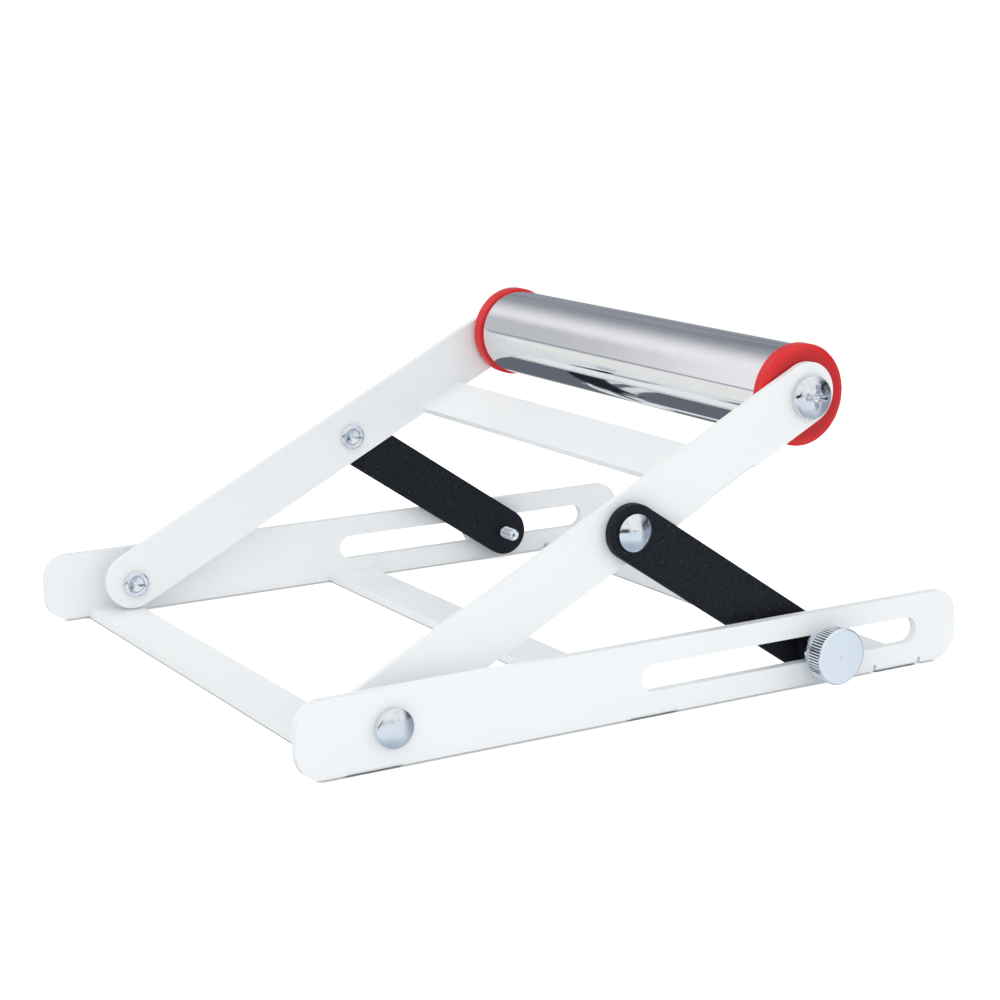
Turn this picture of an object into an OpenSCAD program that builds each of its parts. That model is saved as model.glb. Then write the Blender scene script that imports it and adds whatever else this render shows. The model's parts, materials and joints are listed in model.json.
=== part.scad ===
// Low folding roller support that stands beside a miter saw and carries the far end of the stock.
// A bent sheet base holds a U-shaped swing frame with a roller at its tip. Two struts prop the
// swing frame, and a thumb screw on each side clamps its strut in a long slot of the base.
//
// Frame: X runs from the pivot end of the base to its slot end, Y from the front side plate to
// the back one, and Z is up from the surface that the base stands on. The origin is the middle
// of the base on that surface. Lengths are millimetres and angles are degrees.

/* [Base] */
// Length of the base along X
base_length = 316; // [306:1:340]
// Width of the base over both side plates
base_width = 266; // [200:1:320]
// Height of the side plates
base_height = 31.2; // [28:0.1:34]
// Height of the side plates' lower edges above the crossbars' undersides
plate_lift = 0.7; // [0.2:0.1:1]
// Thickness of the base sheet
base_sheet = 4; // [3:0.1:4.5]
// Radius of the side plates' corners
base_corner_r = 11; // [4:0.5:13]
// Inner radius of the bends, of the base and of the swing frame
bend_r = 0.7; // [0.5:0.1:1.5]
// Outer radius of the bends, which are coined tight
bend_outer_r = 2; // [1.5:0.1:3]
// Width of each crossbar along X
crossbar_w = 23; // [16:0.5:26]
// Distance from each end of the base to the near edge of its crossbar
crossbar_inset = 20.5; // [17:0.5:22]
// Width of the relief notches beside the last crossbar's bends
notch_w = 1.4; // [1:0.1:2]
// Height of those notches
notch_h = 3.2; // [2.5:0.1:4]
// Straight part of the bends' legs above the round part, of the base and of the swing frame
leg_h = 2.6; // [1:0.1:3]

/* [Slots] */
// Length of each slot from end to end
slot_length = 142; // [136:1:150]
// Distance from the slot end of the base to the near end of the slots
slot_inset = 22; // [19:0.5:26]
// Height of the slots
slot_h = 11.2; // [10:0.1:12]
// Height of the slots' centre line
slot_z = 16.1; // [15.4:0.1:16.8]

/* [Swing frame] */
// Distance from the pivot axis to the roller axis
arm_length = 228.4; // [222:0.2:240]
// Width of the arms
arm_w = 26; // [23:0.5:26]
// How far the arms' centre line lies above the line through their three holes
arm_rise = 1.6; // [0:0.1:2]
// Thickness of the swing frame's sheet
arm_sheet = 3; // [2.5:0.1:5]
// Angle of the arms above the base, as drawn
arm_angle = 26.9; // [20:0.1:34]
// Distance from the pivot end of the base to the pivot axis
pivot_inset = 39.4; // [36:0.1:42]
// Gap between the arms' round ends and the crossbar under them
arm_end_gap = 0.6; // [0.5:0.1:1]
// Width of the web along the arms
web_w = 24; // [16:1:28]
// Distance along the arms between the web and the end caps' flanges
web_gap = 15.2; // [12:0.1:20]

/* [Struts] */
// Distance from the pivot axis to the strut pivots, along the arms
strut_at = 128; // [122:0.5:132]
// Distance between the two holes of a strut
strut_length = 106.9; // [103:0.1:112]
// Width of the struts
strut_w = 23; // [18:0.2:23.4]
// Thickness of the struts
strut_sheet = 3.6; // [2.5:0.1:5]
// Thickness of the washers between the struts and the arms
strut_washer_t = 0.4; // [0.3:0.1:1]
// Outer diameter of those washers
strut_washer_d = 15; // [12:0.5:20]
// How far the clamp screws lie below the slots' centre line, as drawn
screw_drop = 1.4; // [0.6:0.1:1.8]

/* [Rivets] */
// Diameter of the rivet shanks
rivet_d = 8; // [6:0.1:9]
// Diameter of the rivet heads
rivet_head_d = 15.6; // [13:0.2:18]
// Height of the pivot rivets' straight rim
pivot_rim_h = 3.1; // [0.8:0.1:3.5]
// Height of the pivot rivets' dome above the rim
pivot_dome_h = 1.4; // [0.8:0.1:3]
// Height of the strut rivets' straight rim
strut_rim_h = 0.8; // [0.5:0.1:1.5]
// Height of the strut rivets' dome above the rim
strut_dome_h = 2.6; // [1:0.1:3]
// Space between the strut rivets' heads and the side plates
head_gap = 1; // [0.6:0.1:2]
// Outer diameter of the rivets' rolled ends
rivet_roll_d = 12; // [11.6:0.1:13]
// Thickness of the rolled ends
rivet_roll_t = 2.2; // [2:0.1:3]
// Depth of the cone in the rolled ends, below the roll's middle
rivet_cone = 2; // [1:0.1:3]
// Outer diameter of the spacers on the pivot rivets
pivot_spacer_d = 14; // [12:0.5:18]

/* [Clamp screws] */
// Diameter of the clamp screws' thread
screw_d = 6; // [5:0.1:6.5]
// How far the screws stand out of the struts' inner faces
screw_reach = 9; // [4:0.5:10]
// Diameter of the knurled heads
knob_d = 24.2; // [18:0.1:25]
// Thickness of the knurled heads
knob_t = 7.5; // [4:0.1:10]
// Number of knurl teeth
knob_teeth = 60; // [40:2:70]
// Depth of the knurl teeth
knob_tooth = 0.55; // [0.3:0.05:0.7]
// Chamfer on the edges of the knurled heads
knob_chamfer = 0.4; // [0.3:0.1:1]
// Diameter of the collar behind each head
collar_d = 15; // [12:0.5:18]
// Length of the collar
collar_t = 4; // [2:0.1:6]
// Chamfer on the screws' ends
screw_chamfer = 0.75; // [0.4:0.05:1]
// Radius and depth of the centre mark in the screws' ends
centre_mark = 1.5; // [0.8:0.1:1.8]
// Diameter of the clamp washers on the outside of the plates
clamp_washer_d = 18.4; // [16:0.5:24]
// Thickness of the clamp washers
clamp_washer_t = 1.5; // [1:0.1:2]
// Outer diameter of the spacers between the struts and the plates
clamp_spacer_d = 14; // [13:0.5:16]

/* [Roller] */
// Outer diameter of the roller tube
tube_d = 40.4; // [38:0.1:42]
// Wall of the roller tube
tube_wall = 1.5; // [1:0.1:2]
// Diameter of the end cap flanges
cap_d = 42.8; // [42.6:0.1:46]
// Thickness of the end cap flanges
cap_t = 7; // [5:0.1:10]
// Rounding of the flanges' outer rim
cap_round = 1; // [1:0.1:3]
// Rounding of the flanges' inner rim
cap_round_in = 0.8; // [0.4:0.1:1]
// Length of the end cap plugs inside the tube
plug_l = 15; // [8:0.5:25]
// Wall of the plugs' inner mouths
plug_wall = 4; // [3:0.1:5]
// Space between the end caps and the arms
cap_gap = 0.7; // [0.4:0.1:1.5]
// How deep the bearings sit below the caps' outer faces
bearing_recess = 1.3; // [0.6:0.1:2]
// Radial space between the caps and the axle
cap_bore_gap = 2; // [1:0.1:3]

/* [Bearings] */
// Bore of the bearings
bearing_bore = 12; // [10:0.1:12.4]
// Outer diameter of the bearings
bearing_od = 24; // [23.6:0.1:26]
// Width of the bearings
bearing_w = 6; // [5.6:0.1:8]
// Diameter of the bearing balls
ball_d = 3.5; // [3.2:0.02:3.8]
// Number of balls in each bearing
ball_count = 10; // [8:1:12]
// Height of the rings' shoulders beside the grooves, from the pitch circle
race_gap = 1.1; // [1:0.05:1.3]
// Wall of the ball cages
cage_t = 1; // [0.6:0.1:1.2]
// Width of the ball cages
cage_w = 4.8; // [4.4:0.1:5.2]

/* [Axle] */
// Diameter of the axle between its shoulders
axle_shoulder_d = 15; // [14:0.1:16]
// Outer diameter of the spacers between the arms and the bearings
axle_spacer_d = 16; // [14.5:0.1:17]
// Diameter of the axle screws' thread
axle_screw_d = 8; // [6:0.1:8.5]
// Depth of the tapped holes in the axle
tapped_depth = 24; // [20:1:40]
// Length of the axle screws below the arms' outer faces
axle_screw_l = 22; // [12:1:23]
// Diameter of the axle screws' heads
screw_head_d = 18.6; // [16:0.2:20]
// Height of the heads' straight rim
screw_rim_h = 3.3; // [2.6:0.1:4]
// Height of the heads' dome above the rim
screw_dome_h = 2.2; // [1.6:0.1:3]
// Span of the cross recess
recess_span = 10.4; // [8:0.2:12]
// Depth of the cross recess
recess_depth = 3.4; // [2:0.1:3.6]
// Width of the cross recess's wings
recess_wing = 2; // [1.2:0.1:2.4]
// How much each wing draws in between the top of the head and the recess floor
recess_taper = 1.4; // [0.8:0.1:2]
// Diameter of the recess's middle
recess_core_d = 4; // [3:0.1:4.6]
// Depth of the conical tip below the recess floor
recess_tip = 0.5; // [0.2:0.1:0.8]

/* [Fits] */
// Radial clearance of every shaft in its hole
fit = 0.05; // [0.02:0.01:0.1]
// Clearance between flat faces that turn or slide on each other
play = 0.1; // [0.05:0.05:0.2]
// Radial clearance of the screws in plain washers and spacers
loose = 0.25; // [0.15:0.05:0.4]

/* [Hidden] */
$fn = 64;

// Heights and places along X and Z
pivot_x = -base_length / 2 + pivot_inset;
pivot_z = base_sheet + arm_end_gap + arm_w / 2 - arm_rise * cos(arm_angle);
slot_x1 = base_length / 2 - slot_inset;
slot_x0 = slot_x1 - slot_length;
crossbar_x = [
    -base_length / 2 + crossbar_inset,
    -crossbar_w / 2,
    base_length / 2 - crossbar_inset - crossbar_w,
];
web_from = arm_length - cap_d / 2 - web_gap - web_w;
strut_x = pivot_x + strut_at * cos(arm_angle);
strut_z = pivot_z + strut_at * sin(arm_angle);
screw_z = slot_z - screw_drop;
strut_fall = strut_z - screw_z;
screw_x = strut_x + sqrt(strut_length * strut_length - strut_fall * strut_fall);
strut_angle = -asin(strut_fall / strut_length);
roller_x = pivot_x + arm_length * cos(arm_angle);
roller_z = pivot_z + arm_length * sin(arm_angle);

// Distances from the middle plane, outward on either side
plate_out = base_width / 2;
plate_in = plate_out - base_sheet;
strut_head_h = strut_rim_h + strut_dome_h;
strut_out = plate_in - head_gap - strut_head_h - play;
strut_in = strut_out - strut_sheet;
arm_out = strut_in - play - strut_washer_t;
arm_in = arm_out - arm_sheet;
cap_out = arm_in - cap_gap;
tube_end = cap_out - cap_t;
bearing_out = cap_out - bearing_recess;
bearing_in = bearing_out - bearing_w;
washer_in = plate_out + play;
collar_in = washer_in + clamp_washer_t + play;
knob_in = collar_in + collar_t;

// Radii
roll_r = rivet_roll_t / 2;
roll_at = rivet_roll_d / 2 - roll_r;
pitch_r = (bearing_bore + bearing_od) / 4;
groove_r = ball_d / 2 + fit;

// A flat piece cut from the children's outline in X and Z, between two distances along Y
module sheet(y0, y1) {
    translate([0, y1, 0]) rotate([90, 0, 0]) linear_extrude(y1 - y0) children();
}

// A turned piece from the children's half section: radius, then distance outward along Y
module turned() {
    rotate([-90, 0, 0]) rotate_extrude() children();
}

// A rectangle of the half section between two radii and two distances
module ring_section(r0, r1, y0, y1) {
    translate([r0, y0]) square([r1 - r0, y1 - y0]);
}

// The front pieces are the back ones in the mirror
module front() {
    mirror([0, 1, 0]) children();
}

module at_pivot() {
    translate([pivot_x, 0, pivot_z]) children();
}

module at_strut_pivot() {
    translate([strut_x, 0, strut_z]) rotate([0, -arm_angle, 0]) children();
}

module at_screw() {
    translate([screw_x, 0, screw_z]) rotate([0, -strut_angle, 0]) children();
}

module at_roller() {
    translate([roller_x, 0, roller_z]) rotate([0, -arm_angle, 0]) children();
}

// Outline of a bar with full round ends, from the origin to a length along the first axis
module bar_outline(length, width) {
    translate([0, -width / 2]) square([length, width]);
    circle(d = width);
    translate([length, 0]) circle(d = width);
}

// Outline of a rectangle with four round corners
module rounded_outline(length, width, r) {
    translate([r, 0]) square([length - 2 * r, width]);
    translate([0, r]) square([length, width - 2 * r]);
    for (x = [r, length - r], y = [r, width - r]) translate([x, y]) circle(r);
}

// Section with a flat floor, two round lower corners and straight walls, centred on the first axis
module trough_outline(width, height, r) {
    translate([-width / 2 + r, 0]) square([width - 2 * r, height]);
    translate([-width / 2, r]) square([width, height - r]);
    for (x = [-width / 2 + r, width / 2 - r]) translate([x, r]) circle(r);
}

// A bar bent up at both ends: its section across Y, drawn out along X
module bent_bar(length, width, t) {
    leg = t + bend_r + leg_h;
    rotate([90, 0, 90]) linear_extrude(length) difference() {
        trough_outline(width, leg, bend_outer_r);
        translate([0, t]) trough_outline(width - 2 * t, leg, bend_r);
    }
}

// One side plate's outline: round corners, the slot, the pivot hole, and a window for each bend
module plate_outline() {
    difference() {
        translate([-base_length / 2, plate_lift])
            rounded_outline(base_length, base_height - plate_lift, base_corner_r);
        translate([slot_x0 + slot_h / 2, slot_z]) bar_outline(slot_length - slot_h, slot_h);
        translate([pivot_x, pivot_z]) circle(rivet_d / 2 + fit);
        for (x = crossbar_x) translate([x, -1]) square([crossbar_w, bend_outer_r + 1]);
        for (x = [crossbar_x[2] - notch_w, crossbar_x[2] + crossbar_w])
            translate([x, -1]) square([notch_w, notch_h + 1]);
    }
}

module base_frame() {
    color("whitesmoke") {
        for (y = [-plate_out, plate_in]) sheet(y, y + base_sheet) plate_outline();
        for (x = crossbar_x)
            translate([x, 0, 0]) bent_bar(crossbar_w, base_width, base_sheet);
    }
}

// An arm's outline from the pivot to the roller, with its three holes and a window for the bend
module arm_outline() {
    difference() {
        translate([0, arm_rise]) bar_outline(arm_length, arm_w);
        circle(rivet_d / 2 + fit);
        translate([strut_at, 0]) circle(rivet_d / 2 + fit);
        translate([arm_length, 0]) circle(axle_screw_d / 2 + fit);
        translate([web_from, arm_rise - arm_w / 2 - 1]) square([web_w, bend_outer_r + 1]);
    }
}

module swing_frame() {
    color("white") at_pivot() rotate([0, -arm_angle, 0]) {
        for (y = [-arm_out, arm_in]) sheet(y, y + arm_sheet) arm_outline();
        translate([web_from, 0, arm_rise - arm_w / 2])
            bent_bar(web_w, 2 * arm_out, arm_sheet);
    }
}

// A strut lies along its own X from the strut pivot to the clamp screw
module strut() {
    color("#1e212a") translate([strut_x, 0, strut_z]) rotate([0, -strut_angle, 0])
        sheet(strut_in, strut_out) difference() {
            bar_outline(strut_length, strut_w);
            circle(rivet_d / 2 + fit);
            translate([strut_length, 0]) circle(screw_d / 2 + fit);
        }
}

// Half section of a domed disc on the axis, its flat face at zero
module dome_section(r, rim, dome) {
    dome_r = (r * r + dome * dome) / (2 * dome);
    square([r, rim]);
    intersection() {
        translate([0, rim + dome - dome_r]) circle(dome_r, $fn = 180);
        translate([0, rim]) square([r, dome]);
    }
}

// A rivet with a domed head outside and a hollow end rolled over inside, with a cone for its floor.
// Its head seats at one distance outward, and the roll closes on another.
module rivet(head_at, roll_on, rim, dome) {
    hollow_r = roll_at - roll_r;
    mouth = roll_on - rivet_roll_t - 1;
    color("silver") turned() difference() {
        union() {
            translate([0, head_at]) dome_section(rivet_head_d / 2, rim, dome);
            ring_section(0, rivet_d / 2, roll_on - roll_r, head_at);
            ring_section(0, roll_at, roll_on - roll_r, roll_on);
            translate([roll_at, roll_on - roll_r]) circle(roll_r);
        }
        polygon([
            [-1, mouth], [hollow_r, mouth], [hollow_r, roll_on - roll_r],
            [0, roll_on - roll_r + rivet_cone], [-1, roll_on - roll_r + rivet_cone],
        ]);
    }
}

module pivot_rivet() {
    at_pivot() rivet(plate_out, arm_in - play, pivot_rim_h, pivot_dome_h);
}

module strut_rivet() {
    at_strut_pivot() rivet(strut_out + play, arm_in, strut_rim_h, strut_dome_h);
}

module pivot_spacer() {
    color("silver") at_pivot() turned()
        ring_section(rivet_d / 2 + fit, pivot_spacer_d / 2, arm_out + play, plate_in);
}

module strut_washer() {
    color("silver") at_strut_pivot() turned()
        ring_section(rivet_d / 2 + fit, strut_washer_d / 2, arm_out, arm_out + strut_washer_t);
}

// Outline of the knurled head: one tooth and one gap for each step round the circle,
// with a fifth of the step flat on each tooth and in each gap
module knurl_outline() {
    step = 360 / knob_teeth;
    flat = 0.2;
    outer = knob_d / 2;
    inner = outer - knob_tooth;
    corners = [[0, outer], [flat, outer], [0.5, inner], [0.5 + flat, inner]];
    polygon([
        for (i = [0:knob_teeth - 1], corner = corners)
            corner[1] * [cos(step * (i + corner[0])), sin(step * (i + corner[0]))]
    ]);
}

// Half section of a disc with chamfered edges
module chamfered_section(r, c, y0, y1) {
    polygon([[0, y0], [r - c, y0], [r, y0 + c], [r, y1 - c], [r - c, y1], [0, y1]]);
}

module thumb_screw() {
    tip = strut_in - screw_reach;
    knob_out = knob_in + knob_t;
    color("lightsteelblue") at_screw() {
        intersection() {
            sheet(knob_in, knob_out) knurl_outline();
            turned() chamfered_section(knob_d / 2, knob_chamfer, knob_in, knob_out);
        }
        turned() difference() {
            union() {
                ring_section(0, collar_d / 2, collar_in, knob_in + knob_t / 2);
                chamfered_section(screw_d / 2, screw_chamfer, tip, collar_in + screw_chamfer);
            }
            polygon([
                [-1, tip - 1], [centre_mark + 1, tip - 1],
                [0, tip + centre_mark], [-1, tip + centre_mark],
            ]);
        }
    }
}

module clamp_washer() {
    color("silver") at_screw() turned()
        ring_section(screw_d / 2 + loose, clamp_washer_d / 2, washer_in, washer_in + clamp_washer_t);
}

module clamp_spacer() {
    color("silver") at_screw() turned()
        ring_section(screw_d / 2 + loose, clamp_spacer_d / 2, strut_out, plate_in - play);
}

module roller_tube() {
    color("gainsboro") at_roller() turned()
        ring_section(tube_d / 2 - tube_wall, tube_d / 2, -tube_end, tube_end);
}

// Half section of the flange, with both rims rounded
module flange_section() {
    r = cap_d / 2;
    ring_section(0, r - cap_round, tube_end, cap_out);
    ring_section(0, r - cap_round_in, tube_end, cap_out - cap_round);
    ring_section(0, r, tube_end + cap_round_in, cap_out - cap_round);
    translate([r - cap_round, cap_out - cap_round]) circle(cap_round);
    translate([r - cap_round_in, tube_end + cap_round_in]) circle(cap_round_in);
}

module end_cap() {
    plug_r = tube_d / 2 - tube_wall - fit;
    color("crimson") at_roller() turned() difference() {
        union() {
            flange_section();
            ring_section(0, plug_r, tube_end - plug_l, tube_end + cap_t / 2);
        }
        ring_section(-1, bearing_od / 2 + fit, bearing_in, cap_out + 1);
        ring_section(-1, plug_r - plug_wall, tube_end - plug_l - 1, bearing_in - plug_wall);
        ring_section(-1, axle_shoulder_d / 2 + cap_bore_gap, bearing_in - plug_wall - 1, bearing_in + 1);
    }
}

// Section of the ball groove, which both rings share
module groove_section() {
    translate([pitch_r, bearing_out - bearing_w / 2]) circle(groove_r);
}

module bearing_outer_ring() {
    color("silver") at_roller() turned() difference() {
        ring_section(pitch_r + race_gap, bearing_od / 2, bearing_in, bearing_out);
        groove_section();
    }
}

module bearing_inner_ring() {
    color("silver") at_roller() turned() difference() {
        ring_section(bearing_bore / 2 + fit, pitch_r - race_gap, bearing_in, bearing_out);
        groove_section();
    }
}

// The children stand at each ball's place
module at_balls() {
    at_roller() for (i = [0:ball_count - 1])
        rotate([0, i * 360 / ball_count, 0])
            translate([pitch_r, bearing_out - bearing_w / 2, 0]) children();
}

module bearing_balls() {
    color("lightgray") at_balls() sphere(d = ball_d);
}

// A thin ring with a round pocket drilled through it for each ball
module bearing_cage() {
    middle = bearing_out - bearing_w / 2;
    color("darkgoldenrod") difference() {
        at_roller() turned()
            ring_section(pitch_r - cage_t / 2, pitch_r + cage_t / 2,
                middle - cage_w / 2, middle + cage_w / 2);
        at_balls() rotate([0, 90, 0]) cylinder(r = groove_r, h = 2 * cage_t, center = true);
    }
}

module roller_axle() {
    color("silver") at_roller() turned() difference() {
        union() {
            ring_section(0, bearing_bore / 2, -arm_in, arm_in);
            ring_section(0, axle_shoulder_d / 2, -bearing_in, bearing_in);
        }
        ring_section(-1, axle_screw_d / 2 + fit, arm_in - tapped_depth, arm_in + 1);
        ring_section(-1, axle_screw_d / 2 + fit, -arm_in - 1, tapped_depth - arm_in);
    }
}

// One wing of the cross recess, tapering towards its floor
module recess_wing_cut(top) {
    wide = recess_span / 2 + recess_taper;
    narrow = recess_span / 2 - recess_taper;
    translate([0, 0, -recess_wing / 2]) linear_extrude(recess_wing) polygon([
        [-wide, top + recess_depth], [wide, top + recess_depth],
        [narrow, top - recess_depth], [-narrow, top - recess_depth],
    ]);
}

module axle_screw() {
    top = arm_out + screw_rim_h + screw_dome_h;
    color("silver") at_roller() difference() {
        turned() {
            translate([0, arm_out]) dome_section(screw_head_d / 2, screw_rim_h, screw_dome_h);
            ring_section(0, axle_screw_d / 2, arm_out - axle_screw_l, arm_out + screw_rim_h / 2);
        }
        for (turn = [20, 110]) rotate([0, turn, 0]) recess_wing_cut(top);
        core_r = recess_core_d / 2;
        core_floor = top - recess_depth - recess_tip;
        turned() polygon([[0, top + 1], [core_r, top + 1], [core_r, core_floor + core_r], [0, core_floor]]);
    }
}

module axle_spacer() {
    color("silver") at_roller() turned()
        ring_section(bearing_bore / 2 + fit, axle_spacer_d / 2, bearing_out, arm_in);
}

base_frame();
swing_frame();
front() strut();  // front_strut
strut();  // back_strut
front() pivot_rivet();  // front_pivot_rivet
pivot_rivet();  // back_pivot_rivet
front() pivot_spacer();  // front_pivot_spacer
pivot_spacer();  // back_pivot_spacer
front() strut_rivet();  // front_strut_rivet
strut_rivet();  // back_strut_rivet
front() strut_washer();  // front_strut_washer
strut_washer();  // back_strut_washer
front() thumb_screw();  // front_thumb_screw
thumb_screw();  // back_thumb_screw
front() clamp_washer();  // front_clamp_washer
clamp_washer();  // back_clamp_washer
front() clamp_spacer();  // front_clamp_spacer
clamp_spacer();  // back_clamp_spacer
roller_tube();
front() end_cap();  // front_end_cap
end_cap();  // back_end_cap
front() bearing_outer_ring();  // front_bearing_outer_ring
bearing_outer_ring();  // back_bearing_outer_ring
front() bearing_inner_ring();  // front_bearing_inner_ring
bearing_inner_ring();  // back_bearing_inner_ring
front() bearing_balls();  // front_bearing_balls
bearing_balls();  // back_bearing_balls
front() bearing_cage();  // front_bearing_cage
bearing_cage();  // back_bearing_cage
roller_axle();
front() axle_screw();  // front_axle_screw
axle_screw();  // back_axle_screw
front() axle_spacer();  // front_axle_spacer
axle_spacer();  // back_axle_spacer
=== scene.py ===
"""The looks of a low folding roller support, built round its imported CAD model.

Lengths in the outlines are millimetres, as in the part's source, and become metres in the meshes.
"""
import json
import math

import bmesh
import bpy
from mathutils import Matrix, Vector


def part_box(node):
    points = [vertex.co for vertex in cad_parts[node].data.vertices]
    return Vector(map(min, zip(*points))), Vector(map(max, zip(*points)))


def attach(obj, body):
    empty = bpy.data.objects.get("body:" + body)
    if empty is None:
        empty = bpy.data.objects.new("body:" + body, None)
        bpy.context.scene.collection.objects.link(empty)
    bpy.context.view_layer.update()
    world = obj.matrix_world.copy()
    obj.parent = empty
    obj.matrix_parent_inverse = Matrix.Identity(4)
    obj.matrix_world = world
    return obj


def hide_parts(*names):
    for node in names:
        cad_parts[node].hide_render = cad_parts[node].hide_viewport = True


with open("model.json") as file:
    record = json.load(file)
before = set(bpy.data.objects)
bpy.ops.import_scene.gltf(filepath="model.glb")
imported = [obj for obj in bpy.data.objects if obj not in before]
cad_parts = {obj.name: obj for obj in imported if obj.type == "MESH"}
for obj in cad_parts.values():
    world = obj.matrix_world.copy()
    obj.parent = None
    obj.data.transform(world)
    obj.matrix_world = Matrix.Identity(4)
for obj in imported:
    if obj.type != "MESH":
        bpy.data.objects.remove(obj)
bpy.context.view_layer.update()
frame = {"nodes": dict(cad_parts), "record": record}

MM = 0.001
scene = bpy.context.scene
scene.view_settings.view_transform = "Standard"
record = frame["record"]
body_of = {name: body for body, names in record["behaviour"]["bodies"].items() for name in names}
slot_of = {part["node"]: part["material_slot"] for part in record["subparts"]}


def centre(name):
    """The middle of a CAD node's box."""
    low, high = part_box(name)
    return (low + high) / 2


def span(name):
    """The distances from the middle plane at which a back node begins and ends, in millimetres."""
    low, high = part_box(name)
    return low.y / MM, high.y / MM


def top_radius(name):
    """The radius of a round node that lies along Y, in millimetres."""
    return (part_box(name)[1].z - centre(name).z) / MM


# The camera stands where the photograph was taken from.
VIEWPOINT = (-0.490270, -0.828893, 0.274710)
azimuth, elevation, roll = (math.radians(angle) for angle in (-31.0405, 12.3566, -0.3102))
back = Vector((math.sin(azimuth) * math.cos(elevation), -math.cos(azimuth) * math.cos(elevation),
               math.sin(elevation)))
level = Vector((math.cos(azimuth), math.sin(azimuth), 0))
upright = back.cross(level)
right = level * math.cos(roll) + upright * math.sin(roll)
up = upright * math.cos(roll) - level * math.sin(roll)
camera = bpy.data.objects.new("camera", bpy.data.cameras.new("camera"))
camera.data.sensor_width = 36
camera.data.lens = 80.135
camera.data.clip_start, camera.data.clip_end = 0.05, 60
camera.matrix_world = Matrix.Translation(VIEWPOINT) @ Matrix((right, up, back)).transposed().to_4x4()
scene.collection.objects.link(camera)
scene.camera = camera


def colour(code):
    """An sRGB hex value as linear red, green, blue and alpha."""
    channels = [int(code[i:i + 2], 16) / 255 for i in (1, 3, 5)]
    return [c / 12.92 if c <= 0.04045 else ((c + 0.055) / 1.055) ** 2.4 for c in channels] + [1]


def node(tree, kind, inputs=None, **settings):
    """Adds a node. An input is given as a value or as the socket that feeds it."""
    made = tree.nodes.new("ShaderNode" + kind)
    for name, value in settings.items():
        setattr(made, name, value)
    for name, value in (inputs or {}).items():
        if isinstance(value, bpy.types.NodeSocket):
            tree.links.new(value, made.inputs[name])
        else:
            made.inputs[name].default_value = value
    return made


def new_material(name, **constants):
    """A material with its Principled shader, and its Object coordinates."""
    made = bpy.data.materials.new(name)
    made.use_nodes = True
    tree = made.node_tree
    shader = tree.nodes["Principled BSDF"]
    for socket, value in constants.items():
        shader.inputs[socket.replace("_", " ")].default_value = value
    return made, tree, shader, node(tree, "TexCoord").outputs["Object"]


def feed(tree, shader, **outputs):
    """Links outputs to the shader's inputs. A name has _ where the input's has a space."""
    for name, output in outputs.items():
        tree.links.new(output, shader.inputs[name.replace("_", " ")])


def per_mm(size):
    """The scale of a noise or cell pattern whose features are this many millimetres apart."""
    return 1 / (size * MM)


# A wave texture's own distance from ring to ring, at a scale of 1.
WAVE_PERIOD = 2 * math.pi / 20


def white_powder_coat():
    # Polyester powder baked on steel sheet. It gives an even, slightly cool white with a soft gloss,
    # and a fine orange peel where the powder flowed together.
    made, tree, shader, place = new_material("white_powder_coat", IOR=1.5)
    clouds = node(tree, "TexNoise", {"Vector": place, "Scale": per_mm(38), "Detail": 3.0}).outputs["Fac"]
    peel = node(tree, "TexNoise", {"Vector": place, "Scale": per_mm(1.1), "Detail": 1.5}).outputs["Fac"]
    grain = node(tree, "TexNoise", {"Vector": place, "Scale": per_mm(0.35), "Detail": 2.0}).outputs["Fac"]
    tint = node(tree, "Mix", {0: clouds, 6: colour("#F2F5F6"), 7: colour("#F7FAFA")}, data_type="RGBA")
    gloss = node(tree, "MapRange", {"Value": grain, "To Min": 0.3, "To Max": 0.46})
    relief = node(tree, "Bump", {"Height": peel, "Strength": 0.35, "Distance": 0.02 * MM})
    fine = node(tree, "Bump", {"Height": grain, "Strength": 0.3, "Distance": 0.006 * MM,
                               "Normal": relief.outputs["Normal"]})
    feed(tree, shader, Base_Color=tint.outputs[2], Roughness=gloss.outputs[0],
         Normal=fine.outputs["Normal"])
    return made


def black_powder_coat():
    # Coarse textured powder on a steel bar. The baked grains give a dry blue-black surface with small
    # bumps, and a few of them carry painted glints: pale specks where they would catch the light.
    made, tree, shader, place = new_material("black_textured_powder_coat", IOR=1.5,
                                             Specular_IOR_Level=0.19)
    bumps = node(tree, "TexNoise", {"Vector": place, "Scale": per_mm(0.9), "Detail": 3.0,
                                    "Roughness": 0.6}).outputs["Fac"]
    pits = node(tree, "MapRange", {"Value": bumps, "From Min": 0.3, "From Max": 0.7}).outputs[0]
    # Painted glints: a few grains get a pale speck in the colour, where they would catch the light.
    cells = node(tree, "TexVoronoi", {"Vector": place, "Scale": per_mm(1.5), "Randomness": 1.0})
    chosen = node(tree, "SeparateColor", {"Color": cells.outputs["Color"]}).outputs["Red"]
    few = node(tree, "MapRange", {"Value": chosen, "From Min": 0.8, "From Max": 0.92})
    dot = node(tree, "MapRange", {"Value": cells.outputs["Distance"], "From Min": 0.11, "From Max": 0.2,
                                  "To Min": 1.0, "To Max": 0.0})
    painted_glint = node(tree, "Math", {0: few.outputs[0], 1: dot.outputs[0]}, operation="MULTIPLY").outputs[0]
    body = node(tree, "Mix", {0: pits, 6: colour("#06080D"), 7: colour("#20242F")}, data_type="RGBA")
    tint = node(tree, "Mix", {0: painted_glint, 6: body.outputs[2], 7: colour("#5A5E68")}, data_type="RGBA")
    gloss = node(tree, "MapRange", {"Value": bumps, "To Min": 0.42, "To Max": 0.68})
    relief = node(tree, "Bump", {"Height": bumps, "Strength": 0.9, "Distance": 0.09 * MM})
    feed(tree, shader, Base_Color=tint.outputs[2], Roughness=gloss.outputs[0],
         Normal=relief.outputs["Normal"])
    return made


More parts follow.
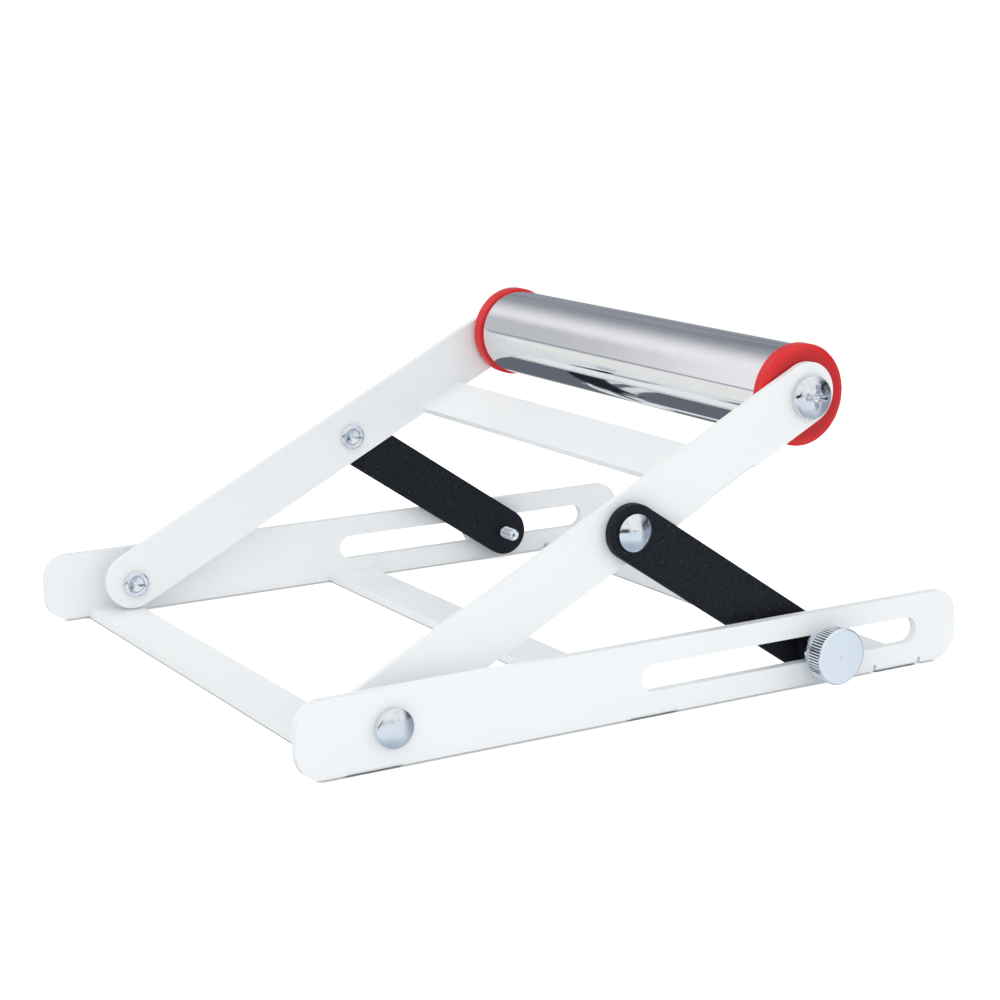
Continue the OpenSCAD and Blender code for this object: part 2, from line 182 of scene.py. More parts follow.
def bright_zinc():
    # Bright zinc plate on cold-headed steel, cleared with a blue passivate: a cool silver that is
    # almost a mirror, clouded a little by the plating bath.
    made, tree, shader, place = new_material("bright_zinc_plated_steel", Metallic=1.0)
    clouds = node(tree, "TexNoise", {"Vector": place, "Scale": per_mm(5), "Detail": 4.0}).outputs["Fac"]
    grain = node(tree, "TexNoise", {"Vector": place, "Scale": per_mm(0.6), "Detail": 3.0}).outputs["Fac"]
    tint = node(tree, "Mix", {0: clouds, 6: colour("#D9DFE6"), 7: colour("#F1F4F8")}, data_type="RGBA")
    gloss = node(tree, "MapRange", {"Value": clouds, "From Min": 0.3, "From Max": 0.7,
                                    "To Min": 0.09, "To Max": 0.2})
    relief = node(tree, "Bump", {"Height": grain, "Strength": 0.3, "Distance": 0.01 * MM})
    feed(tree, shader, Base_Color=tint.outputs[2], Roughness=gloss.outputs[0],
         Normal=relief.outputs["Normal"])
    return made


# Where painted shade darkens a thumb screw: in the cup in its end, at the thread's bottoms and at the
# knurl's. In each band of radii the shade comes in from the first to the second and goes out from the third
# to the fourth, in millimetres. Near both ends, to a small depth, no shade is painted.
SHADED_BANDS = ((-1.0, -0.5, 0.2, 1.7), (2.1, 2.4, 2.5, 2.9), (11.2, 11.4, 11.56, 11.8))
UNSHADED_DEPTH, FULL_SHADE_DEPTH = 0.45, 0.6


def turned_zinc(name, middle, half):
    # A lathe-turned, knurled and zinc-plated screw. The tool leaves fine rings round its axis, which the
    # plate softens to a silky, bluish white face, and painted shade darkens the bottoms of the knurl and the
    # thread.
    # Real rings are 0.1 mm apart; these are 1.1 mm to show.
    made, tree, shader, place = new_material(name, Metallic=1.0)
    moved = node(tree, "Mapping", {"Vector": place, "Location": -middle}).outputs[0]
    rings = node(tree, "TexWave", {"Vector": moved, "Scale": per_mm(1.1) * WAVE_PERIOD,
                                   "Distortion": 0.3, "Detail": 2.0},
                 wave_type="RINGS", rings_direction="Y").outputs["Fac"]
    clouds = node(tree, "TexNoise", {"Vector": place, "Scale": per_mm(4), "Detail": 4.0}).outputs["Fac"]
    tint = node(tree, "Mix", {0: clouds, 6: colour("#EEF5FB"), 7: colour("#F8FCFF")}, data_type="RGBA")
    across = node(tree, "VectorMath", {0: moved, 1: (1, 0, 1)}, operation="MULTIPLY").outputs[0]
    radius = node(tree, "VectorMath", {0: across}, operation="LENGTH").outputs["Value"]
    along = node(tree, "SeparateXYZ", {"Vector": moved}).outputs["Y"]
    along = node(tree, "Math", {0: along}, operation="ABSOLUTE").outputs[0]
    behind_face = node(tree, "MapRange", {"Value": along, "From Min": (half - UNSHADED_DEPTH) * MM,
                                          "From Max": (half - FULL_SHADE_DEPTH) * MM}).outputs[0]
    painted_shade = 0.0
    for inner, full, end, outer in SHADED_BANDS:
        rise = node(tree, "MapRange", {"Value": radius, "From Min": inner * MM, "From Max": full * MM})
        fall = node(tree, "MapRange", {"Value": radius, "From Min": outer * MM, "From Max": end * MM})
        band = node(tree, "Math", {0: rise.outputs[0], 1: fall.outputs[0]}, operation="MULTIPLY").outputs[0]
        painted_shade = node(tree, "Math", {0: band, 1: painted_shade}, operation="ADD").outputs[0]
    painted_shade = node(tree, "Math", {0: painted_shade, 1: behind_face}, operation="MULTIPLY").outputs[0]
    # Painted shade: a dark grey in the knurl's gaps, the thread's bottoms and the cup.
    tint = node(tree, "Mix", {0: painted_shade, 6: tint.outputs[2], 7: colour("#56606C")}, data_type="RGBA")
    gloss = node(tree, "MapRange", {"Value": clouds, "To Min": 0.19, "To Max": 0.3})
    relief = node(tree, "Bump", {"Height": rings, "Strength": 0.3, "Distance": 0.005 * MM})
    feed(tree, shader, Base_Color=tint.outputs[2], Roughness=gloss.outputs[0],
         Normal=relief.outputs["Normal"])
    return made


def chrome_tube(middle):
    # Welded steel tube, polished on a belt while it turns and chromed: close to a mirror, with faint
    # marks round it. Real marks are a few hundredths of a millimetre wide; these are 0.5 mm to show.
    made, tree, shader, place = new_material("polished_chromed_steel", Metallic=1.0)
    stretched = node(tree, "Mapping", {"Vector": place, "Location": -middle,
                                       "Scale": (0.04, 1.0, 0.04)}).outputs[0]
    marks = node(tree, "TexNoise", {"Vector": stretched, "Scale": per_mm(0.5), "Detail": 2.0}).outputs["Fac"]
    clouds = node(tree, "TexNoise", {"Vector": place, "Scale": per_mm(14), "Detail": 3.0}).outputs["Fac"]
    tint = node(tree, "Mix", {0: clouds, 6: colour("#EAEBED"), 7: colour("#F4F4F5")}, data_type="RGBA")
    gloss = node(tree, "MapRange", {"Value": clouds, "To Min": 0.03, "To Max": 0.09})
    relief = node(tree, "Bump", {"Height": marks, "Strength": 0.12, "Distance": 0.004 * MM})
    feed(tree, shader, Base_Color=tint.outputs[2], Roughness=gloss.outputs[0],
         Normal=relief.outputs["Normal"])
    return made


def chrome_screw():
    # Chromed cold-headed steel: a mirror with a little unevenness from the heading die.
    made, tree, shader, place = new_material("chromed_screw_steel", Metallic=1.0)
    dents = node(tree, "TexNoise", {"Vector": place, "Scale": per_mm(2.2), "Detail": 3.0}).outputs["Fac"]
    tint = node(tree, "Mix", {0: dents, 6: colour("#D6D9DE"), 7: colour("#F0F1F4")}, data_type="RGBA")
    gloss = node(tree, "MapRange", {"Value": dents, "To Min": 0.04, "To Max": 0.12})
    relief = node(tree, "Bump", {"Height": dents, "Strength": 0.7, "Distance": 0.05 * MM})
    feed(tree, shader, Base_Color=tint.outputs[2], Roughness=gloss.outputs[0],
         Normal=relief.outputs["Normal"])
    return made


# The radii between which an end cap's colour goes from the painted shade of its face to the painted light of
# its rim.
FACE_R, RIM_R = 17.0, 20.2


def red_plastic(middle):
    # Injection-moulded polypropylene in signal red. The polished mould leaves the rim glossy, and the flat
    # face, eroded a little by sparks, duller. The face's red is darker with painted shade, and the rim's
    # lighter with painted light.
    made, tree, shader, place = new_material("moulded_red_polypropylene", IOR=1.49,
                                             Specular_IOR_Level=0.4, Subsurface_Weight=0.1,
                                             Subsurface_Scale=1.5 * MM)
    clouds = node(tree, "TexNoise", {"Vector": place, "Scale": per_mm(12), "Detail": 2.0}).outputs["Fac"]
    skin = node(tree, "TexNoise", {"Vector": place, "Scale": per_mm(0.5), "Detail": 3.0}).outputs["Fac"]
    moved = node(tree, "Mapping", {"Vector": place, "Location": -middle}).outputs[0]
    across = node(tree, "VectorMath", {0: moved, 1: (1, 0, 1)}, operation="MULTIPLY").outputs[0]
    radius = node(tree, "VectorMath", {0: across}, operation="LENGTH").outputs["Value"]
    rim = node(tree, "MapRange", {"Value": radius, "From Min": FACE_R * MM,
                                  "From Max": RIM_R * MM}).outputs[0]
    # Painted shade and painted light: the face gets a darker red, as if shaded, and the rim a lighter one,
    # as if lit.
    face = node(tree, "Mix", {0: clouds, 6: colour("#BA141B"), 7: colour("#C61C22")}, data_type="RGBA")
    edge = node(tree, "Mix", {0: clouds, 6: colour("#D61D22"), 7: colour("#E2282A")}, data_type="RGBA")
    tint = node(tree, "Mix", {0: rim, 6: face.outputs[2], 7: edge.outputs[2]}, data_type="RGBA")
    dull = node(tree, "MapRange", {"Value": rim, "To Min": 0.34, "To Max": 0.2}).outputs[0]
    gloss = node(tree, "Math", {0: skin, 1: 0.1, 2: dull}, operation="MULTIPLY_ADD")
    relief = node(tree, "Bump", {"Height": skin, "Strength": 0.35, "Distance": 0.012 * MM})
    feed(tree, shader, Base_Color=tint.outputs[2], Roughness=gloss.outputs[0],
         Normal=relief.outputs["Normal"])
    return made


def ground_steel():
    # Hardened bearing steel, ground: a bright neutral grey with a faint haze from the wheel.
    made, tree, shader, place = new_material("ground_bearing_steel", Metallic=1.0)
    grain = node(tree, "TexNoise", {"Vector": place, "Scale": per_mm(0.7), "Detail": 4.0}).outputs["Fac"]
    tint = node(tree, "Mix", {0: grain, 6: colour("#B4B8BC"), 7: colour("#CBCED1")}, data_type="RGBA")
    gloss = node(tree, "MapRange", {"Value": grain, "To Min": 0.16, "To Max": 0.3})
    feed(tree, shader, Base_Color=tint.outputs[2], Roughness=gloss.outputs[0])
    return made


def cage_brass():
    # Pressed and tumbled brass strip: a warm yellow metal, a little dulled by oil.
    made, tree, shader, place = new_material("tumbled_brass", Metallic=1.0)
    stains = node(tree, "TexNoise", {"Vector": place, "Scale": per_mm(1.8), "Detail": 4.0}).outputs["Fac"]
    tint = node(tree, "Mix", {0: stains, 6: colour("#A98240"), 7: colour("#D0A862")}, data_type="RGBA")
    gloss = node(tree, "MapRange", {"Value": stains, "To Min": 0.24, "To Max": 0.42})
    feed(tree, shader, Base_Color=tint.outputs[2], Roughness=gloss.outputs[0])
    return made


finish_of = {
    "white_paint": white_powder_coat(),
    "black_paint": black_powder_coat(),
    "zinc": bright_zinc(),
    "chrome": chrome_screw(),
    "red_plastic": red_plastic(centre("roller_tube")),
    "bearing_steel": ground_steel(),
    "cage_brass": cage_brass(),
}
tube_finish = chrome_tube(centre("roller_tube"))
for name, part in frame["nodes"].items():
    part.data.materials.clear()
    part.data.materials.append(tube_finish if name == "roller_tube" else finish_of[slot_of[name]])


def place_piece(shape, name, replaced, finish=None):
    """Makes a mesh object of a bmesh, and puts it in place of a CAD node."""
    mesh = bpy.data.meshes.new(name)
    shape.to_mesh(mesh)
    shape.free()
    if "custom_normal" in mesh.attributes:
        mesh.attributes.remove(mesh.attributes["custom_normal"])
    mesh.shade_smooth()
    mesh.set_sharp_from_angle(angle=math.radians(42))
    mesh.materials.clear()
    mesh.materials.append(finish or finish_of[slot_of[replaced]])
    piece = bpy.data.objects.new(name, mesh)
    scene.collection.objects.link(piece)
    flats = piece.modifiers.new("flat faces stay flat", "WEIGHTED_NORMAL")
    flats.keep_sharp = True
    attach(piece, body_of[replaced])
    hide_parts(replaced)
    return piece


def round_edges(shape, width, segments=3, sharper_than=35):
    """Rounds the edges whose faces meet at more than an angle in degrees."""
    sharp = [edge for edge in shape.edges
             if edge.is_manifold and edge.calc_face_angle() > math.radians(sharper_than)]
    bmesh.ops.bevel(shape, geom=sharp, offset=width * MM, offset_type="OFFSET", segments=segments,
                    profile=0.5, affect="EDGES", clamp_overlap=True, material=-1, loop_slide=True)


def merged_copy(name):
    """A CAD node's loose triangles, merged into whole faces."""
    shape = bmesh.new()
    shape.from_mesh(frame["nodes"][name].data)
    bmesh.ops.remove_doubles(shape, verts=shape.verts, dist=1e-6)
    bmesh.ops.dissolve_limit(shape, angle_limit=math.radians(1), verts=shape.verts, edges=shape.edges)
    return shape


def turned(outline, steps=96):
    """Turns a half outline round the Y axis. A corner is its radius, its distance and its rounding."""
    shape = bmesh.new()
    corners = [shape.verts.new((radius * MM, distance * MM, 0)) for radius, distance, rounding in outline]
    for first, second in zip(corners, corners[1:]):
        shape.edges.new((first, second))
    if outline[0][0] > 0:
        shape.edges.new((corners[-1], corners[0]))
    for corner, (radius, distance, rounding) in zip(corners, outline):
        if rounding:
            bmesh.ops.bevel(shape, geom=[corner], offset=rounding * MM, offset_type="OFFSET", segments=5,
                            profile=0.5, affect="VERTICES", clamp_overlap=True, material=-1)
    bmesh.ops.spin(shape, geom=shape.verts[:] + shape.edges[:], cent=(0, 0, 0), axis=(0, 1, 0),
                   angle=2 * math.pi, steps=steps, use_merge=True)
    bmesh.ops.remove_doubles(shape, verts=shape.verts, dist=1e-7)
    bmesh.ops.recalc_face_normals(shape, faces=shape.faces)
    return shape


def dome(radius, foot, height, points=12):
    """Corners of a spherical dome's outline, from its foot to its top."""
    sphere = (radius ** 2 + height ** 2) / (2 * height)
    whole = math.asin(radius / sphere)
    return [(sphere * math.sin(whole * (1 - i / points)),
             foot + height - sphere + sphere * math.cos(whole * (1 - i / points)), 0)
            for i in range(points + 1)]


def joined(*shapes):
    """Puts several closed shapes into the first one."""
    mesh = bpy.data.meshes.new("joined")
    for shape in shapes[1:]:
        shape.to_mesh(mesh)
        shape.free()
        shapes[0].from_mesh(mesh)
    bpy.data.meshes.remove(mesh)
    return shapes[0]


def on_axis(shape, name, side):
    """Moves a turned shape from the Y axis to a node's axis. The front one is turned round to face out."""
    middle = centre(name)
    if side == "front":
        bmesh.ops.rotate(shape, cent=(0, 0, 0), matrix=Matrix.Rotation(math.pi, 3, "Z"), verts=shape.verts)
    bmesh.ops.translate(shape, vec=(middle.x, 0, middle.z), verts=shape.verts)
    return shape


def boolean(shape, tool, operation):
    """Cuts or joins a shape with a tool, and gives the result."""
    objects = []
    for each in (shape, tool):
        mesh = bpy.data.meshes.new("blank")
        each.to_mesh(mesh)
        each.free()
        objects.append(bpy.data.objects.new("blank", mesh))
        scene.collection.objects.link(objects[-1])
    cut = objects[0].modifiers.new("cut", "BOOLEAN")
    cut.object, cut.operation, cut.solver = objects[1], operation, "EXACT"
    result = bmesh.new()
    result.from_object(objects[0], bpy.context.evaluated_depsgraph_get())
    for each in objects:
        mesh = each.data
        bpy.data.objects.remove(each)
        bpy.data.meshes.remove(mesh)
    return result


# Cut sheet: the CAD shape, with the soft edges that powder gives it.
for name, piece_name, width in (("base_frame", "base_frame_coated", 0.5),
                                ("swing_frame", "swing_frame_coated", 0.5),
                                ("front_strut", "front_strut_coated", 0.6),
                                ("back_strut", "back_strut_coated", 0.6)):
    shape = merged_copy(name)
    round_edges(shape, width)
    place_piece(shape, piece_name, name)


# Washers and spacers: turned rings with broken edges.
SCREW_HOLE, RIVET_HOLE, BEARING_BORE = 3.25, 4.05, 6.05
for kind, hole, edge in (("clamp_washer", SCREW_HOLE, 0.25), ("clamp_spacer", SCREW_HOLE, 0.25),
                         ("pivot_spacer", RIVET_HOLE, 0.25), ("strut_washer", RIVET_HOLE, 0.08),
                         ("axle_spacer", BEARING_BORE, 0.15)):
    inner, outer = span("back_" + kind)
    rim = (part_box("back_" + kind)[1].x - centre("back_" + kind).x) / MM
    for side in ("front", "back"):
        ring = turned([(hole, inner, edge), (rim, inner, edge), (rim, outer, edge), (hole, outer, edge)])
        place_piece(on_axis(ring, side + "_" + kind, side), f"{side}_{kind}_turned", side + "_" + kind)


# Rivets: a domed head outside, and a hollow end rolled over inside with the punch's cone in it. Each
# kind has where its head sits, the height of the head's straight side, and the rounding above it.
RIVET_SHANK, RIVET_HEAD = 4.0, 7.8
ROLL_OUT, ROLL_IN, ROLL_ROUND = 6.0, 3.8, 1.05
plate_out = span("base_frame")[1]
strut_out = span("back_strut")[1]
for kind, seat, rim, edge in (("pivot_rivet", plate_out, 3.1, 0.45),
                              ("strut_rivet", strut_out + 0.1, 0.8, 0.3)):
    inner, outer = span("back_" + kind)
    roll_on = inner + 2 * (ROLL_ROUND + 0.05)
    head = dome(RIVET_HEAD, seat + rim, outer - seat - rim)
    head[0] = (*head[0][:2], edge)
    for side in ("front", "back"):
        rivet = turned([
            (0, roll_on + 0.2, 0), (0.9, roll_on + 0.2, 0.3),
            (ROLL_IN - 0.6, roll_on - ROLL_ROUND + 0.5, 0.4),
            (ROLL_IN - 0.1, roll_on - ROLL_ROUND, 0.3), (ROLL_IN, inner, 1.0), (ROLL_OUT, inner, ROLL_ROUND),
            (ROLL_OUT, roll_on, ROLL_ROUND - 0.1), (RIVET_SHANK, roll_on, 0), (RIVET_SHANK, seat, 0),
            (RIVET_HEAD, seat, 0.15), *head])
        place_piece(on_axis(rivet, side + "_" + kind, side), f"{side}_{kind}_plated", side + "_" + kind)


# Thumb screws: a straight-knurled head, a collar, and a rolled M6 thread with a cup in its end.
TEETH, TOOTH, TOOTH_SHARE = 60, 0.55, 0.45
KNOB_R, KNOB_T, KNOB_EDGE = 12.1, 7.5, 0.4
COLLAR_R, COLLAR_T, COLLAR_EDGE = 7.5, 4.0, 0.3
THREAD_R, THREAD_PITCH, THREAD_DEPTH, THREAD_EDGE = 2.97, 1.0, 0.54, 0.75
CUP_RIM, CUP_DEPTH = 0.45, 1.1


def ring_on(shape, radius, distance, tooth=0.0):
    """Draws the open edge out to a new ring, with knurl teeth of some depth."""
    rim = [edge for edge in shape.edges if edge.is_boundary]
    drawn = bmesh.ops.extrude_edge_only(shape, edges=rim)["geom"]
    for vert in (each for each in drawn if isinstance(each, bmesh.types.BMVert)):
        turn = math.atan2(vert.co.z, vert.co.x)
        in_gap = (turn / (2 * math.pi) * TEETH + 0.1) % 1 > TOOTH_SHARE
        reach = (radius - tooth * in_gap) * MM
        vert.co = (reach * math.cos(turn), distance * MM, reach * math.sin(turn))


def knurled_head(back, front):
    """A knurled disc with a turning centre in its face, and its collar behind."""
    shape = bmesh.new()
    bmesh.ops.create_circle(shape, cap_ends=True, segments=4 * TEETH, radius=0.15 * MM,
                            matrix=Matrix.Rotation(math.pi / 2, 4, "X"))
    bmesh.ops.translate(shape, vec=(0, (front - 0.3) * MM, 0), verts=shape.verts)
    ring_on(shape, 0.5, front - 0.03)
    ring_on(shape, 0.62, front)
    ring_on(shape, KNOB_R - KNOB_EDGE - 0.75, front)
    ring_on(shape, KNOB_R - KNOB_EDGE - 0.12, front - 0.04)
    ring_on(shape, KNOB_R - 0.12, front - KNOB_EDGE, 0.25 * TOOTH)
    ring_on(shape, KNOB_R, front - KNOB_EDGE - 0.35, TOOTH)
    ring_on(shape, KNOB_R, back + KNOB_EDGE + 0.35, TOOTH)
    ring_on(shape, KNOB_R - 0.12, back + KNOB_EDGE, 0.25 * TOOTH)
    ring_on(shape, KNOB_R - KNOB_EDGE - 0.3, back)
    ring_on(shape, COLLAR_R + COLLAR_EDGE, back)
    ring_on(shape, COLLAR_R, back - COLLAR_EDGE)
    ring_on(shape, COLLAR_R, back - COLLAR_T + COLLAR_EDGE)
    ring_on(shape, COLLAR_R - COLLAR_EDGE, back - COLLAR_T)
    bmesh.ops.holes_fill(shape, edges=[edge for edge in shape.edges if edge.is_boundary])
    bmesh.ops.recalc_face_normals(shape, faces=shape.faces)
    return shape


def thread(tip, end):
    """A rolled thread cut off square at both ends, with a chamfered tip and a cup in it."""
    shape = bmesh.new()
    root = THREAD_R - THREAD_DEPTH
    section = [shape.verts.new((radius * MM, (tip - 1.5 * THREAD_PITCH + part * THREAD_PITCH) * MM, 0))
               for radius, part in ((root, 0), (root + 0.05, 0.1), (THREAD_R, 0.42), (THREAD_R, 0.58),
                                    (root + 0.05, 0.9), (root, 1))]
    for first, second in zip(section, section[1:]):
        shape.edges.new((first, second))
    turns = math.ceil((end - tip) / THREAD_PITCH) + 3
    steps = 40
    bmesh.ops.spin(shape, geom=shape.verts[:] + shape.edges[:], cent=(0, 0, 0), axis=(0, 1, 0),
                   angle=2 * math.pi * turns, steps=steps * turns, dvec=(0, THREAD_PITCH * MM / steps, 0))
    bmesh.ops.remove_doubles(shape, verts=shape.verts, dist=2e-6)
    for place, normal in ((tip, (0, -1, 0)), (end, (0, 1, 0))):
        bmesh.ops.bisect_plane(shape, geom=shape.verts[:] + shape.edges[:] + shape.faces[:], dist=1e-7,
                               plane_co=(0, place * MM, 0), plane_no=normal, clear_outer=True)
    for vert in shape.verts:
        reach = math.hypot(vert.co.x, vert.co.z)
        limit = (THREAD_R - THREAD_EDGE) * MM + vert.co.y - tip * MM
        if reach > limit:
            vert.co.x, vert.co.z = vert.co.x * limit / reach, vert.co.z * limit / reach
    ends = bmesh.ops.holes_fill(shape, edges=[edge for edge in shape.edges if edge.is_boundary])["faces"]
    bmesh.ops.recalc_face_normals(shape, faces=shape.faces)
    cup = min(ends, key=lambda face: face.calc_center_median().y)
    bmesh.ops.inset_region(shape, faces=[cup], thickness=CUP_RIM * MM, use_even_offset=True)
    middle = bmesh.ops.poke(shape, faces=[cup])["verts"]
    bmesh.ops.translate(shape, vec=(0, CUP_DEPTH * MM, 0), verts=middle)
    return shape


screw_tip, knob_front = span("back_thumb_screw")
for side in ("front", "back"):
    name = side + "_thumb_screw"
    finish = turned_zinc(side + "_turned_zinc_plated_steel", centre(name), (knob_front - screw_tip) / 2)
    head = knurled_head(knob_front - KNOB_T, knob_front)
    screw = joined(head, thread(screw_tip, knob_front - KNOB_T - COLLAR_T + 0.5))
    place_piece(on_axis(screw, name, side), side + "_knurled_screw", name, finish)


# Roller tube: cut off square, with the edges broken.
TUBE_WALL, TUBE_EDGE = 1.5, 0.25
tube_end = span("roller_tube")[1]
tube_r = top_radius("roller_tube")
tube = turned([(tube_r - TUBE_WALL, -tube_end, TUBE_EDGE), (tube_r, -tube_end, TUBE_EDGE),
               (tube_r, tube_end, TUBE_EDGE), (tube_r - TUBE_WALL, tube_end, TUBE_EDGE)], steps=192)
place_piece(on_axis(tube, "roller_tube", "back"), "roller_tube_polished", "roller_tube", tube_finish)


# End caps: a flange whose crowned face meets its side in a crisp ridge, a hollow plug in the tube, and
# a seat for the bearing with a floor behind it.
PLUG_WALL, SEAT_FLOOR, AXLE_HOLE, FIT = 4.0, 4.0, 9.5, 0.05
cap_in, cap_out = span("back_end_cap")
cap_r = top_radius("back_end_cap")
bearing_in = span("back_bearing_outer_ring")[0]
bearing_r = top_radius("back_bearing_outer_ring") + FIT
plug_r = tube_r - TUBE_WALL - FIT
for side in ("front", "back"):
    cap = turned([
        (plug_r - PLUG_WALL, cap_in, 0.3), (plug_r, cap_in, 0.8), (plug_r, tube_end, 0),
        (cap_r, tube_end, 0.8), (cap_r, cap_out - 1.5, 0.2), (cap_r - 1.4, cap_out - 0.6, 0.8),
        (cap_r - 4.4, cap_out, 2.0), (bearing_r + 0.3, cap_out, 0.1), (bearing_r, cap_out - 0.3, 0.1),
        (bearing_r, bearing_in, 0), (AXLE_HOLE, bearing_in, 0), (AXLE_HOLE, bearing_in - SEAT_FLOOR, 0),
        (plug_r - PLUG_WALL, bearing_in - SEAT_FLOOR, 0)], steps=160)
    place_piece(on_axis(cap, side + "_end_cap", side), side + "_end_cap_moulded", side + "_end_cap")


# Axle screws: a pan head with a cross recess struck into its low dome.
HEAD_R, RIM_H, DOME_H, DOME_R, SHOULDER, SHANK_R = 9.3, 3.3, 2.2, 7.4, 1.5, 4.0
WING_R, WING_FLOOR_R, WING_W, WING_DEPTH, WING_EDGE = 6.4, 3.4, 2.3, 2.9, 0.25
CORE_R, CORE_DEPTH, ABOVE = 2.2, 3.6, 1.2
arm_out = span("swing_frame")[1]


def cross_cutter(top, turn):
    """Two tapered wings and a cone, struck down to their depth below the top of the head."""
    wings = []
    for quarter in (0, 90):
        wing = bmesh.new()
        bmesh.ops.create_cube(wing, size=1)
        for vert in wing.verts:
            below = vert.co.y < 0
            vert.co = ((WING_FLOOR_R if below else WING_R + ABOVE) * 2 * vert.co.x * MM,
                       (top + (-WING_DEPTH if below else ABOVE)) * MM,
                       vert.co.z * (WING_W * (0.45 if below else 1.25)) * MM)
        round_edges(wing, WING_EDGE)
        bmesh.ops.rotate(wing, cent=(0, 0, 0), matrix=Matrix.Rotation(math.radians(turn + quarter), 3, "Y"),
                         verts=wing.verts)
        wings.append(wing)
    core = turned([(0, top + 1, 0), (CORE_R + 0.5, top + 1, 0), (CORE_R, top - WING_DEPTH + 1, 0.3),
                   (0, top - CORE_DEPTH, 0)], steps=32)
    return boolean(boolean(*wings, "UNION"), core, "UNION")


for side, turn in (("front", -6), ("back", 20)):
    name = side + "_axle_screw"
    shank_end, top = span("back_axle_screw")
    head = [(HEAD_R, arm_out + RIM_H + 0.1, SHOULDER)]
    head += [corner for corner in dome(HEAD_R, arm_out + RIM_H, DOME_H) if corner[0] < DOME_R]
    blank = turned([(0, shank_end, 0), (SHANK_R, shank_end, 0.6), (SHANK_R, arm_out, 0),
                    (HEAD_R, arm_out, 0.3), *head], steps=72)
    screw = boolean(blank, cross_cutter(top, turn), "DIFFERENCE")
    round_edges(screw, 0.18, segments=2, sharper_than=30)
    place_piece(on_axis(screw, name, side), name + "_chromed", name)


# The floor is a pale disc. The camera sees it white, with a thin grey line of painted contact shadow where
# the base stands on it, and polished metal doesn't see it.
FLOOR_R, FLOOR_DROP, LINE_WIDTH, FLOOR_GLOW = 0.9, 0.0003, 0.0014, 0.64
floor_shape = bmesh.new()
bmesh.ops.create_circle(floor_shape, cap_ends=True, segments=96, radius=FLOOR_R)
floor_mesh = bpy.data.meshes.new("floor")
floor_shape.to_mesh(floor_mesh)
floor_shape.free()
floor = bpy.data.objects.new("floor", floor_mesh)
floor.location.z = -FLOOR_DROP
scene.collection.objects.link(floor)
floor_finish = bpy.data.materials.new("pale_floor")
floor_finish.use_nodes = True
tree = floor_finish.node_tree
shader = tree.nodes["Principled BSDF"]
shader.inputs["Roughness"].default_value = 0.9
shader.inputs["Specular IOR Level"].default_value = 0.0
rays = node(tree, "LightPath").outputs
seen = node(tree, "Math", {0: rays["Is Camera Ray"], 1: rays["Is Transmission Ray"]}, operation="MAXIMUM")
# Painted contact shadow: occlusion darkens the floor's colour and its glow where the base stands close over
# it.
painted_contact_shadow = node(tree, "AmbientOcclusion", {"Color": colour("#F8F9FA"), "Distance": LINE_WIDTH}, samples=8)
lift = node(tree, "Math", {0: painted_contact_shadow.outputs["AO"], 1: FLOOR_GLOW}, operation="MULTIPLY")
lift = node(tree, "Math", {0: seen.outputs[0], 1: lift.outputs[0]}, operation="MULTIPLY")
shader.inputs["Emission Color"].default_value = (1, 1, 1, 1)
feed(tree, shader, Base_Color=painted_contact_shadow.outputs["Color"], Emission_Strength=lift.outputs[0])
floor_mesh.materials.append(floor_finish)
floor.visible_glossy = False

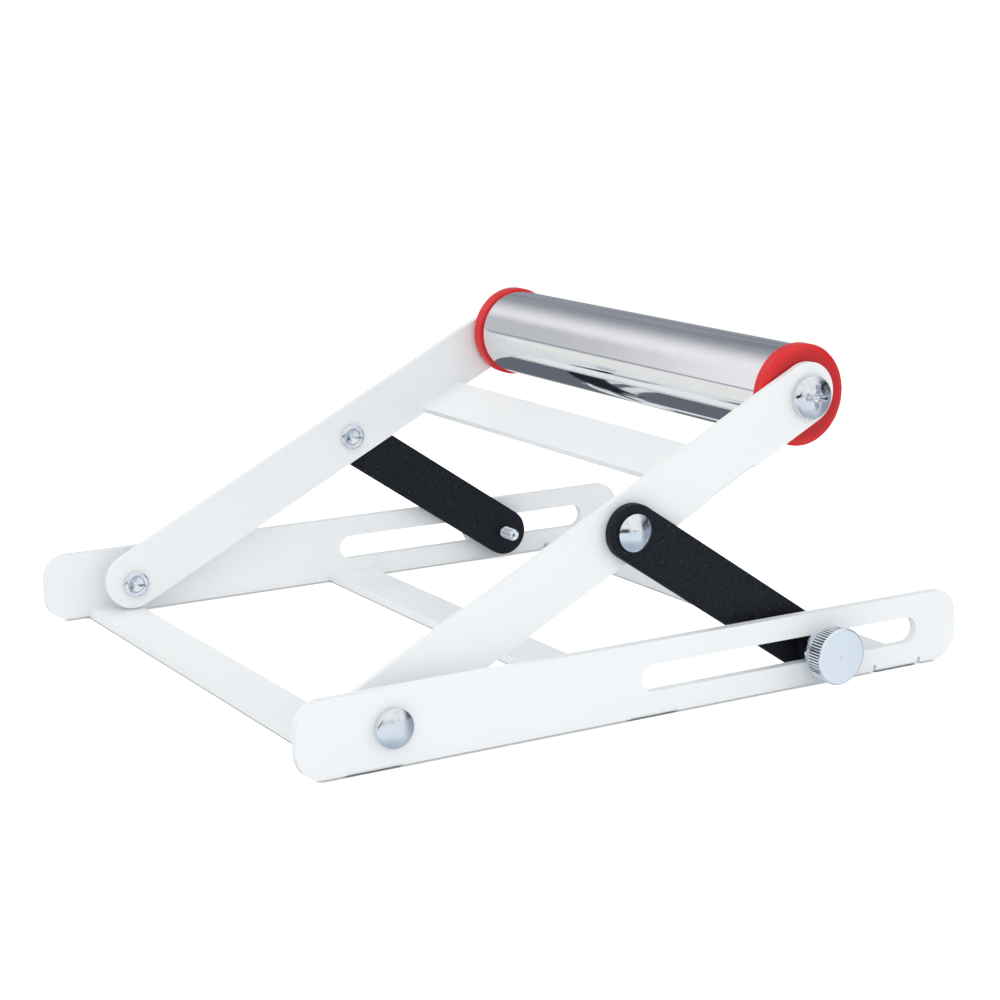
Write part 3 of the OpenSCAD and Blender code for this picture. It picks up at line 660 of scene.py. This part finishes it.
# The room is white to the camera. Polished metal sees it white overhead and in front, grey behind the
# part, dark at the horizon on both sides, and with a floor that darkens to the right and behind. Each
# layer is its colour, and the limits between which each part of a direction brings it in. Where a layer
# ends below as well as above, "Z" gives the one and "floor", the same height, the other.
world = bpy.data.worlds.new("studio")
world.use_nodes = True
scene.world = world
tree = world.node_tree
tree.nodes.clear()
way = node(tree, "TexCoord").outputs["Generated"]
parts = dict(node(tree, "SeparateXYZ", {"Vector": way}).outputs.items())
flattened = node(tree, "Mapping", {"Vector": way, "Scale": (1.0, 1.0, 1.8)}).outputs[0]
parts["floor"] = parts["Z"]
parts["mottle"] = node(tree, "TexNoise", {"Vector": flattened, "Scale": 3.2, "Detail": 3.0,
                                          "Roughness": 0.55}).outputs["Fac"]
room = (1, 1, 1, 1)
for code, limits in (
        ("#E6E8EC", {"mottle": (0.52, 0.3)}),
        ("#F4F4F6", {"Y": (0.2, 0.6)}),
        ("#C3C5CA", {"Y": (0.78, 0.84), "Z": (0.5, 0.3), "X": (-0.15, -0.4)}),
        ("#979BA3", {"Y": (0.2, 0.6), "X": (-0.36, 0.22)}),
        ("#7C818B", {"Y": (0.2, 0.6), "X": (0.1, 0.4), "mottle": (0.46, 0.7)}),
        ("#BCC2CC", {"X": (0.6, 0.84), "Y": (0.4, 0.1)}),
        ("#F0F6FE", {"Z": (-0.02, -0.08)}),
        ("#9CA7B6", {"Z": (-0.02, -0.1), "X": (0.58, 0.84), "Y": (0.5, 0.2)}),
        ("#B9C6D2", {"Z": (-0.4, -0.75)}),
        ("#EEEFEB", {"Z": (-0.04, -0.09), "Y": (0.4, 0.7)}),
        ("#666B76", {"Z": (-0.34, -0.42), "Y": (0.4, 0.7)}),
        ("#9A9DA3", {"Z": (0.02, 0.0), "floor": (-0.04, -0.01), "Y": (0.4, 0.7), "X": (0.1, -0.2)}),
        ("#15191F", {"Z": (0.22, 0.08), "floor": (-0.12, -0.03), "X": (0.15, -0.25), "Y": (0.4, 0.1),
                     "mottle": (0.7, 0.54)}),
        ("#23282F", {"Z": (0.46, 0.16), "floor": (-0.12, -0.03), "X": (0.64, 0.8), "Y": (0.4, 0.1),
                     "mottle": (0.74, 0.56)}),
        ("#9EA4AC", {"Z": (0.1, 0.03), "floor": (-0.1, -0.02), "X": (0.0, 0.3), "Y": (0.4, 0.1),
                     "mottle": (0.58, 0.42)})):
    share = 1.0
    for part, (out, full) in limits.items():
        reach = node(tree, "MapRange", {"Value": parts[part], "From Min": out, "From Max": full},
                     interpolation_type="SMOOTHSTEP").outputs[0]
        share = node(tree, "Math", {0: reach, 1: share}, operation="MULTIPLY").outputs[0]
    room = node(tree, "Mix", {0: share, 6: room, 7: colour(code)}, data_type="RGBA").outputs[2]
rays = node(tree, "LightPath").outputs
fill = node(tree, "Background", {"Color": colour("#FCFCFD"), "Strength": 0.81})
reflected = node(tree, "Background", {"Color": room, "Strength": 1.0})
white = node(tree, "Background", {"Color": (1, 1, 1, 1), "Strength": 1.02})
lit = node(tree, "MixShader", {0: rays["Is Glossy Ray"], 1: fill.outputs[0], 2: reflected.outputs[0]})
seen = node(tree, "Math", {0: rays["Is Camera Ray"], 1: rays["Is Transmission Ray"]}, operation="MAXIMUM")
both = node(tree, "MixShader", {0: seen.outputs[0], 1: lit.outputs[0], 2: white.outputs[0]})
node(tree, "OutputWorld", {"Surface": both.outputs[0]})


def softbox(name, place, target, width, height, power):
    """A soft lamp that faces a target."""
    lamp = bpy.data.objects.new(name, bpy.data.lights.new(name, "AREA"))
    lamp.data.shape = "RECTANGLE"
    lamp.data.size, lamp.data.size_y = width, height
    lamp.data.energy = power
    lamp.location = place
    lamp.rotation_euler = (Vector(target) - Vector(place)).to_track_quat("-Z", "Y").to_euler()
    lamp.visible_glossy = False
    scene.collection.objects.link(lamp)
    return lamp


softbox("key_lamp", (-1.3, -1.4, 1.5), (0, 0, 0.05), 1.6, 1.6, 9)
softbox("fill_lamp", (1.5, -1.5, 0.8), (0, 0, 0.05), 1.4, 1.2, 4.5)
softbox("top_lamp", (-0.2, 0.5, 2.2), (0, 0, 0.05), 1.6, 1.2, 6)
